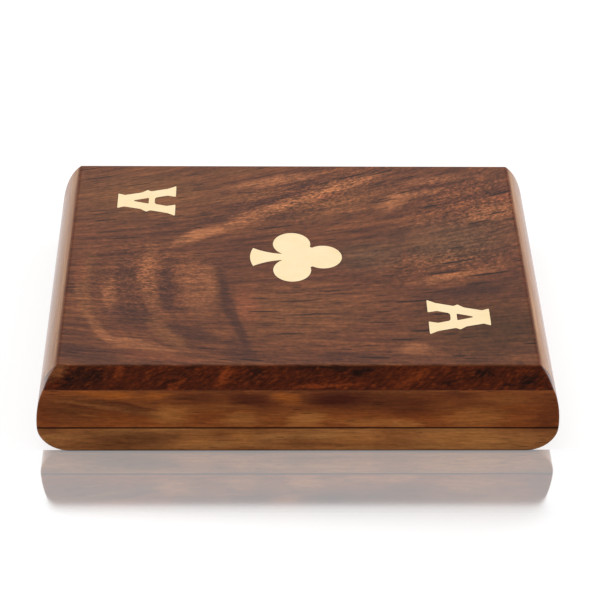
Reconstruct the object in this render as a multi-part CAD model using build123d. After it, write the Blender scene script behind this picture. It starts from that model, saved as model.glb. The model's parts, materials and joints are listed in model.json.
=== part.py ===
from build123d import *
import math
import os

# Wooden box for two packs of playing cards, side by side, with a hinged lid.
# The box is glued up as one block and sawn apart at the seam, so one end profile
# runs through the top panel, the lid's rails and the base. Brass inlays lie flush
# in the top panel, and two brass butt hinges join lid and base at the back.
# Millimetres. X runs along the width, -Y is the front, Z is up, and the origin is
# the middle of the underside. The lid is closed.

# Cards and the two wells that hold them
CARD_W = 57.0
CARD_L = 88.0
CARD_SIDE_ROOM = 2.5
CARD_END_ROOM = 2.0

# Boards
BASE_H = 9.5
LID_RAIL_H = 15.0
TOP_T = 5.5
RAIL_T = 9.0

# Bar between the packs, housed in the front and back rails
DIVIDER_T = 6.0
DIVIDER_DROP = 0.3
DADO_DEPTH = 2.5
DADO_ROOM = 0.1

# Bottom panel, in a rebate flush with the underside
PANEL_T = 3.0
PANEL_ROOM = 0.15
REBATE_W = 3.5
REBATE_LEDGE = 1.0

# End profile: how far the ends come in at the top edge and at the foot, and how far
# the lid's ellipse would come in if it ran on to its crown
TOP_INSET = 7.2
LID_END_RUN = 10.3
FOOT_INSET = 9.5

# Flat bevel along the front edge of the top panel, down its whole thickness
BEVEL_RUN = 5.5

# Eased edges
EDGE_R = 0.5
SEAM_CHAMFER = 0.25

# Felt linings of the wells
FELT_T = 1.0
FELT_ROOM = 0.4

# Brass inlays, flush with the top
INLAY_T = 1.2
INLAY_ROOM = 0.12
SAW_R = 0.3

# Club: its point is to the right and the end of its stem to the left, near the middle of the flat top
CLUB_OFF_X = -0.1
CLUB_OFF_Y = 0.9
CLUB_L = 29.3
CLUB_W = 25.7
LOBE_R = 6.0
SIDE_LOBES_FROM_FOOT = 13.35
HEART_FROM_FOOT = 16.4
STEM_L = 9.5
STEM_FOOT_W = 9.5
STEM_FOOT_BOW = 1.0
STEM_NECK_W = 3.4
STEM_HOLLOW = 0.55

# Ace index: a slab-serif capital that lies on its side, and once more turned half round.
# Each letter's middle is given from the two nearest edges of the flat top
ACE_H = 19.1
ACE_W = 16.9
ACE_LEFT_FROM_END = 22.9
ACE_LEFT_FROM_BACK = 20.6
ACE_RIGHT_FROM_END = 22.2
ACE_RIGHT_FROM_FRONT = 22.65
ACE_FLARE_R = 1.2
# Corners of the letter's right half, as shares of its half width and of its height:
# serif and spur tips point outwards, and the corners between them turn inwards
ACE_TIP_SHARES = {"apex": (0.49, 1.0), "spur": (0.73, 0.495), "heel": (1.0, 0.0), "toe": (0.265, 0.0)}
ACE_TURN_SHARES = {
    "neck": (0.385, 0.885),
    "shoulder": (0.55, 0.6),
    "knee": (0.635, 0.435),
    "ankle": (0.815, 0.14),
    "instep": (0.345, 0.15),
    "roof": (0.21, 0.36),
}
ACE_CORNERS = ("apex", "neck", "shoulder", "spur", "knee", "ankle", "heel", "toe", "instep", "roof")
ACE_COUNTER_SHARES = ((0.0, 0.76), (0.195, 0.465), (-0.195, 0.465))

# Butt hinges
HINGE_SPREAD = 84.0
HINGE_L = 22.0
LEAF_W = 7.0
LEAF_T = 0.9
MORTISE_ROOM = 0.1
KNUCKLES = 3
KNUCKLE_R = 1.8
KNUCKLE_GAP = 0.15
KNUCKLE_STANDOFF = 0.2
PIN_R = 0.8
PIN_CHAMFER = 0.2
PIN_FIXED_ROOM = 0.02
PIN_RUNNING_ROOM = 0.06

# Countersunk slotted wood screws of the hinges, and how each slot happens to be turned
SCREW_PITCH = 13.0
SCREW_R = 0.9
SCREW_L = 6.0
SCREW_TIP_L = 1.6
SCREW_HEAD_R = 1.7
SCREW_SINK = 0.1
SCREW_ROOM = 0.05
SLOT_W = 0.5
SLOT_DEPTH = 0.4
SLOT_TURNS = (15, -40, 70, 5)

# How far every cut runs past what it cuts
OVERRUN = 1.0

# Sizes that follow
WELL_W = CARD_W + 2 * CARD_SIDE_ROOM
WELL_L = CARD_L + 2 * CARD_END_ROOM
INNER_W = 2 * WELL_W + DIVIDER_T
END_T = FOOT_INSET + REBATE_LEDGE + REBATE_W
BOX_W = INNER_W + 2 * END_T
BOX_D = WELL_L + 2 * RAIL_T
SEAM_Z = BASE_H
JOINT_Z = SEAM_Z + LID_RAIL_H
BOX_H = JOINT_Z + TOP_T
FRONT_Y = -BOX_D / 2
BACK_Y = BOX_D / 2
FLAT_X = BOX_W / 2 - TOP_INSET
FLAT_FRONT_Y = FRONT_Y + BEVEL_RUN
AXIS_Y = BACK_Y + KNUCKLE_STANDOFF + KNUCKLE_R
HINGE_PLACES = {"left": -HINGE_SPREAD / 2, "right": HINGE_SPREAD / 2}
BASE_SIDE = -1
LID_SIDE = 1


def block(low, high):
    """Rectangular solid between its lowest and highest corners."""
    size = [b - a for a, b in zip(low, high)]
    return Pos(*low) * Box(*size, align=(Align.MIN, Align.MIN, Align.MIN))


def carcass(end_arc):
    """Extrude the front view whose right end is the arc and whose left end mirrors it."""
    left_arc = mirror(end_arc, about=Plane.YZ)
    level_lines = [Line(left_arc @ end, end_arc @ end) for end in (0, 1)]
    front_view = make_face([end_arc, left_arc, *level_lines])
    return extrude(Plane.XZ.offset(-BACK_Y) * front_view, amount=BOX_D)


def eased(solid):
    """Take a fine chamfer off the edges at the seam, and round all the other edges."""
    def drop(edge):
        return max(abs(vertex.Z - SEAM_Z) for vertex in edge.vertices())

    solid = chamfer([edge for edge in solid.edges() if drop(edge) < SEAM_CHAMFER], SEAM_CHAMFER)
    return fillet([edge for edge in solid.edges() if drop(edge) > 2 * SEAM_CHAMFER], EDGE_R)


def lid_block():
    """Outside form of the lid, solid: elliptical ends, and the bevel along the front."""
    lean = math.acos(1 - TOP_INSET / LID_END_RUN)
    rise = (BOX_H - SEAM_Z) / math.sin(lean)
    centre = (BOX_W / 2 - LID_END_RUN, SEAM_Z)
    solid = carcass(EllipticalCenterArc(centre, LID_END_RUN, rise, arc_size=math.degrees(lean)))
    corners = [(FRONT_Y, JOINT_Z), (FRONT_Y + BEVEL_RUN, BOX_H), (FRONT_Y, BOX_H)]
    bevel = make_face(Polyline(*corners, close=True))
    return eased(solid - extrude(Plane.YZ * bevel, amount=BOX_W, both=True))


def base_block():
    """Outside form of the base, solid: the ends turn in under the seam as quarter ellipses."""
    centre = (BOX_W / 2 - FOOT_INSET, SEAM_Z)
    return eased(carcass(EllipticalCenterArc(centre, FOOT_INSET, BASE_H, start_angle=-90, arc_size=90)))


def frame_boards(solid, low_z, high_z):
    """Saw a block between two levels into front and back rails, and the two ends between them."""
    inner_x = INNER_W / 2
    inner_y = WELL_L / 2
    cells = {
        "front_rail": ((-BOX_W, -BOX_D), (BOX_W, -inner_y)),
        "back_rail": ((-BOX_W, inner_y), (BOX_W, BOX_D)),
        "left_end": ((-BOX_W, -inner_y), (-inner_x, inner_y)),
        "right_end": ((inner_x, -inner_y), (BOX_W, inner_y)),
    }
    return {name: solid & block((*low, low_z), (*high, high_z)) for name, (low, high) in cells.items()}


def club_face():
    """Club pip in its place, seen from above: three lobes round a heart, on a flared stem."""
    side_y = CLUB_W / 2 - LOBE_R
    centres = [
        (SIDE_LOBES_FROM_FOOT, -side_y),
        (SIDE_LOBES_FROM_FOOT, side_y),
        (CLUB_L - LOBE_R, 0),
        (HEART_FROM_FOOT, 0),
    ]
    foot = (STEM_FOOT_BOW, STEM_FOOT_W / 2)
    neck = (STEM_L, STEM_NECK_W / 2)
    waist = ((foot[0] + neck[0]) / 2, (foot[1] + neck[1]) / 2 - STEM_HOLLOW)
    flank = ThreePointArc(foot, waist, neck)
    other_flank = mirror(flank, about=Plane.XZ)
    foot_bow = ThreePointArc(flank @ 0, (0, 0), other_flank @ 0)
    heart_x = HEART_FROM_FOOT
    root = Polyline(flank @ 1, (heart_x, neck[1]), (heart_x, -neck[1]), other_flank @ 1)
    club = make_face([foot_bow, flank, *root.edges(), other_flank])
    for centre in centres:
        club += Pos(*centre) * Circle(LOBE_R)
    return Pos(CLUB_OFF_X - CLUB_L / 2, (FLAT_FRONT_Y + BACK_Y) / 2 + CLUB_OFF_Y) * club


def ace_face():
    """Index letter round the origin, upright: a symmetric polygon with its corners rounded."""
    def places(shares):
        return {name: (ACE_W / 2 * across, ACE_H * up) for name, (across, up) in shares.items()}

    def both_sides(points):
        return [*points, *[(-x, y) for x, y in reversed(points)]]

    def at(sketch, points):
        return [sketch.vertices().sort_by_distance(point)[0] for point in points]

    tips = places(ACE_TIP_SHARES)
    turns = places(ACE_TURN_SHARES)
    outline = both_sides([(tips | turns)[name] for name in ACE_CORNERS])
    letter = make_face(Polyline(*outline, close=True))
    letter = fillet(at(letter, both_sides(list(turns.values()))), ACE_FLARE_R)
    letter = fillet(at(letter, both_sides(list(tips.values()))), SAW_R)
    counter = make_face(Polyline(*[(ACE_W / 2 * x, ACE_H * y) for x, y in ACE_COUNTER_SHARES], close=True))
    return Pos(0, -ACE_H / 2) * (letter - fillet(counter.vertices(), SAW_R))


def inlay_faces():
    """Outlines of the three inlays in their places on the top."""
    ace = ace_face()
    left = Pos(ACE_LEFT_FROM_END - FLAT_X, BACK_Y - ACE_LEFT_FROM_BACK)
    right = Pos(FLAT_X - ACE_RIGHT_FROM_END, FLAT_FRONT_Y + ACE_RIGHT_FROM_FRONT)
    return {
        "inlay_club": club_face(),
        "inlay_ace_left": left * Rot(0, 0, 90) * ace,
        "inlay_ace_right": right * Rot(0, 0, -90) * ace,
    }


def screw(room=0):
    """Countersunk wood screw, its head's face on the origin and its point down."""
    head_r = SCREW_HEAD_R + room
    shank_r = SCREW_R + room
    head_h = SCREW_HEAD_R - SCREW_R
    profile = [(0, 0), (head_r, 0), (shank_r, -head_h), (shank_r, SCREW_TIP_L - SCREW_L), (0, -SCREW_L - room)]
    return revolve(Plane.XZ * make_face(Polyline(*profile, close=True)), Axis.Z)


def slotted_screw():
    """The screw with its driver slot."""
    slot = block((-SCREW_HEAD_R, -SLOT_W / 2, -SLOT_DEPTH), (SCREW_HEAD_R, SLOT_W / 2, OVERRUN))
    return screw() - slot


def screw_hole():
    """Room for the screw, open above its sunk head."""
    mouth = Cylinder(SCREW_HEAD_R + SCREW_ROOM, OVERRUN, align=(Align.CENTER, Align.CENTER, Align.MIN))
    return screw(SCREW_ROOM) + mouth


def screw_places(x, side):
    """Places of the two screws of a leaf, with their heads towards the seam."""
    turned = Rot(180, 0, 0) if side == LID_SIDE else Rot(0, 0, 0)
    y = BACK_Y - LEAF_W / 2
    z = SEAM_Z + side * SCREW_SINK
    return [Pos(x + end * SCREW_PITCH / 2, y, z) * turned for end in (-1, 1)]


def hinge_leaf(x, side):
    """Leaf let into the base or the lid, with its share of the knuckles rolled round the pin."""
    low_z, high_z = sorted((SEAM_Z, SEAM_Z + side * LEAF_T))
    left_x = x - HINGE_L / 2
    leaf = block((left_x, BACK_Y - LEAF_W, low_z), (left_x + HINGE_L, BACK_Y, high_z))
    step = (HINGE_L + KNUCKLE_GAP) / KNUCKLES
    knuckle_l = step - KNUCKLE_GAP
    along_x = Pos(0, AXIS_Y, SEAM_Z) * Rot(0, 90, 0)
    from_end = (Align.CENTER, Align.CENTER, Align.MIN)
    for place in range(1 if side == LID_SIDE else 0, KNUCKLES, 2):
        start = left_x + place * step
        leaf += Pos(start, 0, 0) * along_x * Cylinder(KNUCKLE_R, knuckle_l, align=from_end)
        leaf += block((start, BACK_Y, low_z), (start + knuckle_l, AXIS_Y, high_z))
    pin_room = PIN_RUNNING_ROOM if side == LID_SIDE else PIN_FIXED_ROOM
    leaf -= Pos(left_x, 0, 0) * along_x * Cylinder(PIN_R + pin_room, HINGE_L, align=from_end)
    for place in screw_places(x, side):
        leaf -= place * screw_hole()
    return leaf


def hinge_pin(x):
    """Pin through all the knuckles, with its ends eased."""
    pin = Cylinder(PIN_R, HINGE_L)
    pin = chamfer(pin.edges().filter_by(GeomType.CIRCLE), PIN_CHAMFER)
    return Pos(x, AXIS_Y, SEAM_Z) * Rot(0, 90, 0) * pin


def hinge_bed(rail, side):
    """Cut the mortises of the leaves, and the screws' holes, into a back rail."""
    low_z, high_z = sorted((SEAM_Z - side * OVERRUN, SEAM_Z + side * LEAF_T))
    half = HINGE_L / 2 + MORTISE_ROOM
    for x in HINGE_PLACES.values():
        rail -= block((x - half, BACK_Y - LEAF_W - MORTISE_ROOM, low_z), (x + half, BACK_Y + OVERRUN, high_z))
        for place in screw_places(x, side):
            rail -= place * screw_hole()
    return rail


def hinge_screws(side):
    """The four screws of the base's leaves, or of the lid's, as one group."""
    places = [place for x in HINGE_PLACES.values() for place in screw_places(x, side)]
    return Compound([place * Rot(0, 0, turn) * slotted_screw() for place, turn in zip(places, SLOT_TURNS)])


def base_nodes():
    """Tray with its bottom, its divider and its linings."""
    inner_x = INNER_W / 2
    inner_y = WELL_L / 2
    boards = frame_boards(base_block(), 0, SEAM_Z)
    rebate_x = inner_x + REBATE_W
    rebate_y = inner_y + REBATE_W
    rebate = block((-rebate_x, -rebate_y, -OVERRUN), (rebate_x, rebate_y, PANEL_T))
    boards = {name: board - rebate for name, board in boards.items()}
    dado_x = DIVIDER_T / 2 + DADO_ROOM
    dado_y = inner_y + DADO_DEPTH
    dado = block((-dado_x, -dado_y, PANEL_T), (dado_x, dado_y, SEAM_Z + OVERRUN))
    boards["front_rail"] -= dado
    boards["back_rail"] = hinge_bed(boards["back_rail"] - dado, BASE_SIDE)
    nodes = {f"base_{name}": board for name, board in boards.items()}

    panel_x = rebate_x - PANEL_ROOM
    panel_y = rebate_y - PANEL_ROOM
    nodes["base_bottom_panel"] = block((-panel_x, -panel_y, 0), (panel_x, panel_y, PANEL_T))

    bar_x = DIVIDER_T / 2
    bar_y = dado_y - DADO_ROOM
    bar = block((-bar_x, -bar_y, PANEL_T), (bar_x, bar_y, SEAM_Z - DIVIDER_DROP))
    top_edges = bar.faces().sort_by(Axis.Z)[-1].edges().filter_by(Axis.Y)
    nodes["card_divider"] = fillet(top_edges, EDGE_R)

    felt_y = inner_y - FELT_ROOM
    felt_z = PANEL_T + FELT_T
    felt = block((bar_x + FELT_ROOM, -felt_y, PANEL_T), (inner_x - FELT_ROOM, felt_y, felt_z))
    nodes["left_well_felt"] = mirror(felt, about=Plane.YZ)
    nodes["right_well_felt"] = felt
    return nodes


def lid_nodes():
    """Top panel with its inlays, and the boards under it."""
    solid = lid_block()
    boards = frame_boards(solid, SEAM_Z, JOINT_Z)
    boards["back_rail"] = hinge_bed(boards["back_rail"], LID_SIDE)
    nodes = {f"lid_{name}": board for name, board in boards.items()}
    panel = solid & block((-BOX_W, -BOX_D, JOINT_Z), (BOX_W, BOX_D, BOX_H + OVERRUN))
    bed = Pos(0, 0, BOX_H - INLAY_T)
    for name, face in inlay_faces().items():
        panel -= extrude(bed * offset(face, INLAY_ROOM), amount=INLAY_T + OVERRUN)
        nodes[name] = extrude(bed * face, amount=INLAY_T)
    nodes["lid_top_panel"] = panel
    return nodes


def hinge_nodes():
    """Both hinges, with the screws of each side as one group."""
    nodes = {}
    for hand, x in HINGE_PLACES.items():
        nodes[f"{hand}_hinge_base_leaf"] = hinge_leaf(x, BASE_SIDE)
        nodes[f"{hand}_hinge_lid_leaf"] = hinge_leaf(x, LID_SIDE)
        nodes[f"{hand}_hinge_pin"] = hinge_pin(x)
    nodes["base_hinge_screws"] = hinge_screws(BASE_SIDE)
    nodes["lid_hinge_screws"] = hinge_screws(LID_SIDE)
    return nodes


os.makedirs("parts", exist_ok=True)
for node, shape in {**base_nodes(), **lid_nodes(), **hinge_nodes()}.items():
    export_step(shape, f"parts/{node}.step")
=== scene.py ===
import json
import math

import bpy
import numpy as np
from mathutils import Matrix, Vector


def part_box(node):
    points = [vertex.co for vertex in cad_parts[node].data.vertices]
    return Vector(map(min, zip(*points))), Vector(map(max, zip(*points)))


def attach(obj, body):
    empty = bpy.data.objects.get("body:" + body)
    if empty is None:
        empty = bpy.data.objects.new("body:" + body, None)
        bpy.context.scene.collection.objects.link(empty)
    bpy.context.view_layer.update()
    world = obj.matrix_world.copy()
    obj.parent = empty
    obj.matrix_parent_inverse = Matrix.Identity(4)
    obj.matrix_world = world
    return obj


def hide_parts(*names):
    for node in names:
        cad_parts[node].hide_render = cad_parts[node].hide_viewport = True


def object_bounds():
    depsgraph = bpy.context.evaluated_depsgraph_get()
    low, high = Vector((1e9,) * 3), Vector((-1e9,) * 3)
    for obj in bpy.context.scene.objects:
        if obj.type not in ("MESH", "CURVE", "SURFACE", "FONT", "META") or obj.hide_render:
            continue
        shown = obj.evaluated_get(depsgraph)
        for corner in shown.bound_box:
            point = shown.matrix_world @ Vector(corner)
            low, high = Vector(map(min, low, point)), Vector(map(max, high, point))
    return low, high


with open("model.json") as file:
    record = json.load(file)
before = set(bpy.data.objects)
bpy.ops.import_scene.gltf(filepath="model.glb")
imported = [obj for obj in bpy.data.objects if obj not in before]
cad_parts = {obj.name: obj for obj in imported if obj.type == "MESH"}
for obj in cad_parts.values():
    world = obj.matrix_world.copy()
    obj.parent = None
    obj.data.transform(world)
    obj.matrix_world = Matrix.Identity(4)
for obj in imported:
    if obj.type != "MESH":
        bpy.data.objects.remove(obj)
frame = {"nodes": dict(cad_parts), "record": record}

CAD_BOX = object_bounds()
MM = 0.001

# Camera, fitted to the photograph's square frame: its place is in metres and its turns are in radians
IMAGE_WIDTH = 600
FOCAL_PIXELS = 2013.5
SENSOR_MM = 36.0
CAMERA_PLACE = (-0.01384, -0.50921, 0.41643)
CAMERA_TILT = 0.66689
CAMERA_YAW = -0.02981
CAMERA_ROLL = 0.01941

# Light, in metres and watts: the room is white, with a dark card over the camera, a broad softbox hangs
# over the back left, and two low lamps light the ends without showing in anything that shines
ROOM_LIGHT = 0.7
DARK_CARD = 0.06
CARD_TOWARDS = (0.0, -0.61, 0.79)
CARD_DARK_DEG = 15.0
CARD_EDGE_DEG = 30.0
SOFTBOX_SIZE = 1.2
SOFTBOX_PLACE = (-0.5, 0.35, 1.3)
SOFTBOX_POWER = 6.0
END_LAMP_SIZE = 0.4
END_LAMPS = (
    ("left_lamp", (-0.6, 0.1, 0.16), 0.7),
    ("right_lamp", (0.6, 0.1, 0.16), 2.3),
)

# Floor: a white gloss board, whose mirror image of the box holds for a stretch in front of it
# and then fades out, as it does past the ends of the box
FLOOR_HALF = 4.0
FLOOR_WHITE = "#e6e6e6"
FLOOR_SEEN_WHITE = "#9a9a9a"
FLOOR_GLOW = 0.72
FLOOR_MIRROR = 0.68
MIRROR_HOLD_MM = 36.0
MIRROR_END_MM = 72.0
MIRROR_SIDE_MM = 25.0
MIRROR_ROUGHNESS = 0.04
# Farther from the box the board is duller, so the far edge of the mirror image is blurred
DULL_START_MM = 19.0
DULL_END_MM = 44.0
DULL_ROUGHNESS = 0.8
# What shines in the box finds the floor dark in front of it, and white from this far behind its front
WHITE_FLOOR_MM = 30.0
# Reach of the eased foot: the mirror image begins under it, and a painted shade line lies along it
FOOT_EASE_MM = 0.6

# Levels and reaches of the box, read from the frame
FRONT_MM = CAD_BOX[0][1] / MM
BACK_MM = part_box("lid_top_panel")[1][1] / MM
HALF_WIDTH_MM = CAD_BOX[1][0] / MM
SEAM_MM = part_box("lid_front_rail")[0][2] / MM
RAIL_BACK_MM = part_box("lid_front_rail")[1][1] / MM
JOINT_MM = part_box("lid_top_panel")[0][2] / MM
TOP_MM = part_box("lid_top_panel")[1][2] / MM
# The bevel is as deep as the top board is thick
BEVEL_MM = TOP_MM - JOINT_MM
# How far the flat top stands in from the widest part of the ends, which the frame doesn't tell
TOP_INSET_MM = 7.2
FLAT_HALF_MM = HALF_WIDTH_MM - TOP_INSET_MM
# Radius of the eased edges
EASE_MM = 0.5

# Edges of the flat top: the darker rim inside it, and how far past it the end grain starts and is full
RIM_MM = 0.6
END_GRAIN_START_MM = 0.4
END_GRAIN_FULL_MM = 1.2
# How far under the flat top the bevel's colour starts and is full
BEVEL_START_MM = 0.15
BEVEL_FULL_MM = 0.5
# Half height of the painted shade line in the sawn seam and of the dark glue line over the rails,
# and the share of that by which their edges are blurred
SEAM_SHADE_MM = 0.3
GLUE_LINE_MM = 0.12
LINE_BLUR = 0.4
# The lid is redder than the base, with a blend this far from the seam, and less so behind the front rail
SEAM_BLEND_MM = 0.2
RAIL_BLEND_MM = 1.0
RED_BEHIND = 0.35

# Sheesham, Indian rosewood: colours of the heartwood
AMBER = "#b06d43"
HONEY = "#86532f"
RUST = "#8c4a2e"
OLIVE = "#7a4c2a"
UMBER = "#4a2b16"
DUSK = "#5c4531"
PLUM = "#3c2019"
INK = "#1b0d09"
PORE = "#1c0e0a"
GOLD = "#ac6c34"
FLAME = "#a4571a"
SMOKE = "#5c3318"
RUSSET = "#48190a"
EMBER = "#9a4416"
BEVEL_GROUND = "#481b09"
LID_RED = "#7f3b0f"
# Painted shade in the sawn seam and along the foot, and the dark glue line over the rails
SHADE_AND_GLUE_DARK = "#280b04"

# Ground tones of the materials: colour stops over their broad grain
TOP_TONES = ((0.3, "#502a1b"), (0.5, "#653822"), (0.72, "#7a4628"))
BACK_EDGE_TONES = ((0.3, "#4c2919"), (0.5, "#623620"), (0.7, "#784427"))
END_GRAIN_TONES = ((0.3, "#825535"), (0.5, "#95653f"), (0.7, "#a47449"))
RAIL_TONES = ((0.3, "#7c4822"), (0.5, "#8f572d"), (0.7, "#a26a38"))
BOARD_TONES = ((0.3, "#5f3a20"), (0.5, "#76492a"), (0.7, "#8a5a34"))
INLAY_TONES = ((0.3, "#fce2b3"), (0.7, "#ffe8be"))
FELT_TONES = ((0.3, "#4d0c14"), (0.5, "#6a1420"), (0.72, "#86232c"))
FELT_SHEEN = "#c06a70"

# Thin clear lacquer, rubbed with wax: a smooth film that shines most where it is seen along the surface
LACQUER = {"IOR": 1.5, "Specular IOR Level": 0.06, "Coat Roughness": 0.14, "Coat IOR": 1.3}
# Share of the wood that it covers on the faces, on the rounded ends and where an edge is rubbed
COAT_WEIGHT = 0.62
END_COAT_WEIGHT = 0.78
RUBBED_COAT_WEIGHT = 0.08
# Rubbed edges beside the flat top: their middle, their half width, and how far from the middle
# the lacquer is whole again
RUBBED_MIDDLE_MM = FLAT_HALF_MM + 0.3
RUBBED_HALF_MM = 0.3
RUBBED_END_MM = 0.9
# Roughness of the satin wood under it, from the smoothest fibres to the roughest
SATIN = (0.3, 0.5)

# Turns of boards whose fibres lie along X and along Y
ALONG = 0.0
ACROSS = math.pi / 2

# Noises: most of a noise lies between low and high, its finer parts have this roughness and detail,
# and pores come in patches, starting and full where a noise has these values
NOISE_LOW = 0.3
NOISE_HIGH = 0.7
NOISE_ROUGHNESS = 0.55
NOISE_DETAIL = 2.0
FINE_DETAIL = 3.0
PATCH_START = 0.38
PATCH_FULL = 0.55

# Fraying of what is drawn on a surface: length and width of the threads in millimetres,
# and the most that they shift it along and across
ROUGH_FRAYS = ((18, 18, 2.0, 2.0), (10, 1.0, 3.0, 0.7), (2.6, 1.6, 1.2, 0.9))
SMOOTH_FRAYS = ((18, 18, 2.0, 2.0), (6, 1.0, 1.3, 0.5), (2.6, 1.6, 0.8, 0.7))
THREAD_FRAYS = ((5, 5, 1.0, 0.5),)
RAIL_FRAYS = ((16, 16, 4, 1.6), (7, 0.9, 4, 0.5), (3.0, 2.0, 2.0, 0.7))
FELT_FRAYS = ((1.6, 1.6, 1.2, 1.2),)

# How deep streaks reach: through the top board, into the front board, or in the face alone
FIGURE_DEPTH_MM = 60
FRONT_DEPTH_MM = 14
FACE_DEPTH_MM = 3
# Share of a streak over which it fades, from its edge inwards
SOFT_FADE = 0.95
BAND_FADE = 0.8
CATHEDRAL_FADE = 0.6

# Streaks of a mask are white on black
MASK_ON = "#ffffff"
MASK_OFF = "#000000"

# Fibres of the top board: their rise at the middle, and what it gains per millimetre
# towards the back and towards the right
FIBRE_RISE = 0.14
FIBRE_FAN = 0.0045
FIBRE_TURN = 0.0017

# Figure of the top board: colour, middle x and y, turn in degrees,
# half length, half width, bend of its ends in half widths, strength
BROAD_ZONES = (
    (OLIVE, -50, 38, 6, 36, 22, 0, 0.8),
    (OLIVE, -20, 52, 4, 18, 4, 0, 0.5),
    (DUSK, 22, 4, 4, 18, 12, 0, 0.45),
    (DUSK, 50, 12, 14, 34, 18, 0, 0.5),
    (UMBER, 60, -32, 6, 38, 24, 0, 0.95),
    (HONEY, 2, -25, 2, 30, 21, 0, 0.4),
    (HONEY, 14, 33, 26, 28, 13, 0, 0.45),
)
CATHEDRAL_BANDS = (
    (HONEY, -67, -12, 93, 25, 3.4, 1.4, 0.42),
    (RUST, -68.5, -4, 90, 8, 3, 0, 0.35),
    (AMBER, -58.5, -16, 94, 12, 3.2, 0.4, 0.3),
    (AMBER, -61, -32, 120, 11, 2.4, 0, 0.34),
    (AMBER, -50, -39.8, -14, 15, 3.2, 0, 0.4),
    (PLUM, -54, -4, 96, 21, 4, 1.2, 0.27),
    (PLUM, -52, -26, -14, 11, 6, 0, 0.55),
    (AMBER, -47, -8, 94, 26, 3.6, 1.5, 0.26),
    (HONEY, -40.5, -35, -50, 13, 3.6, 0, 0.5),
    (PLUM, -41.5, -12, 94, 20, 3.2, 1.4, 0.52),
    (AMBER, -31, -13, 100, 20, 7.4, 0, 0.24),
    (AMBER, -27.5, -7, 98, 11, 3, 0, 0.24),
    (PLUM, -32, -35, -22, 13, 4, 0, 0.6),
    (UMBER, -24, -14, 97, 18, 2.4, 0, 0.35),
    (PLUM, -20.5, -25, 103, 28, 2.6, 0.8, 0.7),
    (RUST, -15.5, -21, 98, 13, 5, 0, 0.4),
    (PLUM, -18, -43, 100, 10, 6, 0, 0.5),
    (PLUM, -65, -45, -14, 15, 6, 0, 0.56),
    (RUST, -42, -46, -8, 16, 3.5, 0, 0.3),
)
SLANTING_BANDS = (
    (AMBER, -8, 28.5, 30, 44, 4, 0, 0.42),
    (AMBER, -31, 15.5, 28, 14, 4.0, 0, 0.74),
    (AMBER, -7, 31, 20, 22, 2.8, 0, 0.4),
    (AMBER, -8, 45.5, 15, 24, 4, 0, 0.6),
    (AMBER, 17, 44, 28, 24, 3.4, 0, 0.42),
    (RUST, 11, 37.5, 24, 10, 2.6, 0, 0.4),
    (HONEY, -16, 36.8, 17, 17, 4, 0, 0.5),
    (PLUM, -24, 25, 24, 17, 2.6, 0, 0.5),
    (PLUM, -9, 34.4, 24, 15, 2, 0, 0.5),
    (PLUM, 6, 44.5, 22, 13, 1.8, 0, 0.5),
    (PLUM, -4, 23.5, 30, 20, 3.4, 0, 0.35),
    (AMBER, 33, 34, 50, 11, 5, 0, 0.55),
    (AMBER, 41, 38.5, 20, 13, 2.6, 0, 0.35),
    (AMBER, 48, 47, 12, 18, 3.4, 0, 0.3),
    (AMBER, 65, 29, 26, 14, 7, 0, 0.44),
    (RUST, 69, 38, 50, 8, 4, 0, 0.35),
    (AMBER, 52, -5.8, 18, 22, 3, 0, 0.3),
    (AMBER, 45, -8.5, 22, 8, 2.4, 0, 0.24),
    (PLUM, 57, -12.5, 16, 24, 5, 0, 0.7),
    (RUST, 35, 3, 84, 8, 1.6, 0, 0.35),
    (PLUM, 33, 14, 88, 10, 4.5, 0, 0.35),
    (AMBER, 35, -42.5, 6, 8, 3.2, 0, 0.4),
    (PLUM, 14, -45.2, 2, 18, 2.2, 0, 0.5),
)
# Where the fibres curl, so that the planed face looks sandy
RIPPLED_ZONES = (
    (MASK_ON, 6, 38, 22, 52, 20, 0, 0.9),
    (MASK_ON, 58, 34, 14, 34, 26, 0, 1.0),
    (MASK_ON, 50, 2, 14, 40, 16, 0, 0.8),
    (MASK_ON, -48, -8, 90, 32, 34, 0, 0.8),
)
# Where the wood is close, with few pores
CLOSE_ZONES = (
    (MASK_ON, -47, -15, 92, 38, 30, 0, 0.75),
)
# Long open pores that stand out singly
LONG_PORES = (
    (PORE, 5, -25.6, 3, 13, 0.7, 0, 0.9),
    (PORE, 10, -14, 3, 8, 0.6, 0, 0.85),
    (PORE, -11, -17.8, 0, 6, 0.6, 0, 0.85),
    (PORE, -2, -35, 2, 9, 0.6, 0, 0.75),
    (PORE, 20, -41, 6, 9, 0.6, 0, 0.75),
    (PORE, 24, -29.5, 5, 6, 0.55, 0, 0.75),
    (PORE, -8, -30, 1, 5, 0.5, 0, 0.7),
    (PORE, -16, 39.2, 3, 5, 0.5, 0, 0.7),
    (PORE, 11, 35.7, 14, 4.5, 0.6, 0, 0.8),
    (PORE, 27, 51.2, 34, 5, 0.6, -0.6, 0.8),
    (PORE, 16, 27.3, 2, 4, 0.5, 0, 0.8),
    (PORE, 20, 42.3, 10, 3, 0.5, 0, 0.7),
    (PORE, 46, 35, 16, 8, 0.45, 0, 0.7),
    (PORE, 24, 14, 24, 3.5, 0.5, 0, 0.8),
    (PORE, 19.5, 17.3, 20, 2.5, 0.5, 0, 0.7),
    (PORE, 29, -6.2, 4, 4, 0.7, 0, 0.8),
    (PORE, 26, -10, 4, 4, 0.6, 0, 0.7),
    (PORE, 66, 33.5, 20, 4, 0.8, 0, 0.6),
)

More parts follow.
